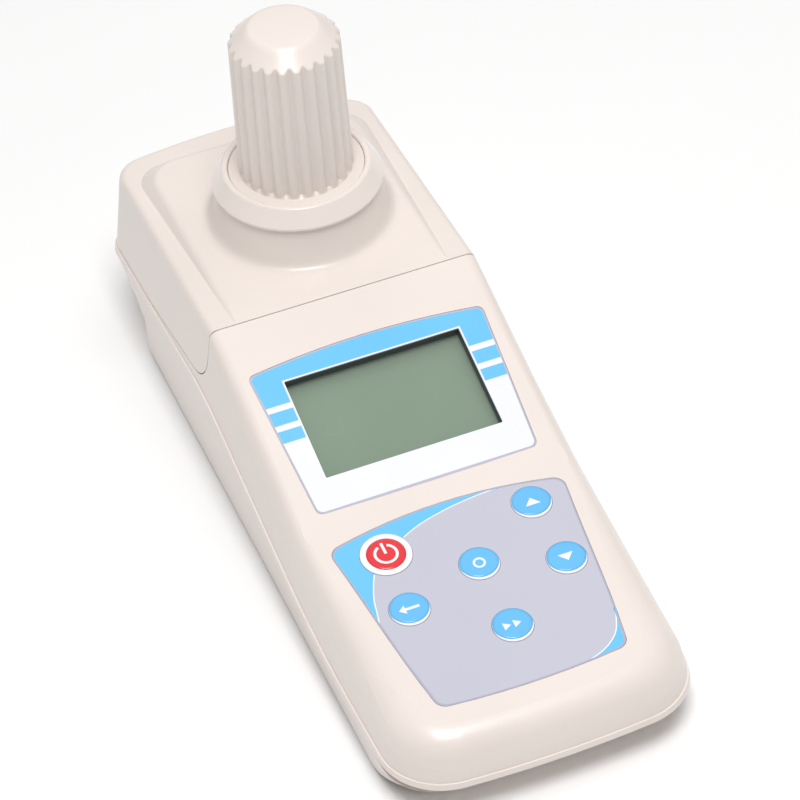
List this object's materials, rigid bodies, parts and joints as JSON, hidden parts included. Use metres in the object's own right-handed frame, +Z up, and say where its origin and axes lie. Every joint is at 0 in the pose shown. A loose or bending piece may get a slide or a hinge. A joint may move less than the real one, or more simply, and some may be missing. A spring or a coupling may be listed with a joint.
{
  "type": "urea tester",
  "caption": "Hand-held photometric urea tester: sloped case with display and keypad, sample well under a lift-off ribbed cap.",
  "frame": {"origin": "centre of the footprint box, on the surface that the feet stand on", "axes": "+Z up, -Y towards the keypad end and the user, +Y towards the capped well, +X to the user's right"},
  "size_m": [0.0854, 0.2308, 0.1147],
  "materials": {
    "ivory_plastic": "semi-gloss moulded ABS, warm ivory",
    "seal_foam": "black closed-cell foam",
    "foot_rubber": "matt grey-black rubber",
    "label_film": "printed polycarbonate film, sky blue and white",
    "overlay_film": "printed polycarbonate film, lavender grey with blue corners",
    "power_key_plastic": "white with a red disc",
    "key_plastic": "sky blue, glossy",
    "dome_steel": "pressed stainless steel",
    "circuit_film": "amber printed circuit film",
    "clear_window": "clear acrylic",
    "display_glass": "reflective liquid crystal glass, greenish grey",
    "bezel_steel": "blackened pressed steel",
    "backlight_plastic": "milky light guide",
    "board_laminate": "green solder mask",
    "black_plastic": "moulded black plastic",
    "lamp_plastic": "clear water-white epoxy",
    "lens_glass": "polished glass",
    "filter_glass": "blue interference glass",
    "can_steel": "gold-washed can",
    "cell_jacket": "printed shrink sleeve, dark",
    "contact_brass": "nickel-plated spring brass",
    "screw_steel": "zinc-plated steel"
  },
  "bodies": {
    "case": {"upper_shell": "ivory_plastic", "hood": "ivory_plastic", "lower_shell": "ivory_plastic", "collar_ring": "ivory_plastic", "rubber_feet": "foot_rubber", "panel_label": "label_film", "keypad_overlay": "overlay_film", "key_domes": "dome_steel", "keypad_circuit": "circuit_film", "display_window": "clear_window", "display_glass": "display_glass", "display_bezel": "bezel_steel", "display_backlight": "backlight_plastic", "display_board": "board_laminate", "main_board": "board_laminate", "source_board": "board_laminate", "detector_board": "board_laminate", "board_chips": "black_plastic", "buzzer": "black_plastic", "well_block": "black_plastic", "lamp": "lamp_plastic", "collimator_lens": "lens_glass", "colour_filter": "filter_glass", "photodiode": "can_steel", "battery_cell_1": "cell_jacket", "battery_cell_2": "cell_jacket", "battery_cell_3": "cell_jacket", "battery_cell_4": "cell_jacket", "contacts_front": "contact_brass", "contacts_rear": "contact_brass", "case_screws": "screw_steel", "board_screws": "screw_steel", "display_screws": "screw_steel", "block_screws": "screw_steel", "optic_screws": "screw_steel"},
    "cap": {"cap": "ivory_plastic", "cap_seal": "seal_foam"},
    "battery_door": {"battery_door": "ivory_plastic"},
    "key_power": {"key_power": "power_key_plastic"},
    "key_upper_right": {"key_upper_right": "key_plastic"},
    "key_right": {"key_right": "key_plastic"},
    "key_centre": {"key_centre": "key_plastic"},
    "key_lower_left": {"key_lower_left": "key_plastic"},
    "key_bottom": {"key_bottom": "key_plastic"}
  },
  "joints": [
    {"name": "cap_lift", "type": "slide", "parent": "case", "child": "cap", "axis": [0, 0, 1], "range_m": [0, 0.06]},
    {"name": "battery_door_slide", "type": "slide", "parent": "case", "child": "battery_door", "axis": [0, -1, 0], "range_m": [0, 0.062]},
    {"name": "key_power_press", "type": "slide", "parent": "case", "child": "key_power", "axis": [0, 0.1045, -0.9945], "range_m": [0, 0.0005], "stiffness_N_per_m": 400},
    {"name": "key_upper_right_press", "type": "slide", "parent": "case", "child": "key_upper_right", "axis": [0, 0.1045, -0.9945], "range_m": [0, 0.0005], "stiffness_N_per_m": 400},
    {"name": "key_right_press", "type": "slide", "parent": "case", "child": "key_right", "axis": [0, 0.1045, -0.9945], "range_m": [0, 0.0005], "stiffness_N_per_m": 400},
    {"name": "key_centre_press", "type": "slide", "parent": "case", "child": "key_centre", "axis": [0, 0.1045, -0.9945], "range_m": [0, 0.0005], "stiffness_N_per_m": 400},
    {"name": "key_lower_left_press", "type": "slide", "parent": "case", "child": "key_lower_left", "axis": [0, 0.1045, -0.9945], "range_m": [0, 0.0005], "stiffness_N_per_m": 400},
    {"name": "key_bottom_press", "type": "slide", "parent": "case", "child": "key_bottom", "axis": [0, 0.1045, -0.9945], "range_m": [0, 0.0005], "stiffness_N_per_m": 400}
  ]
}
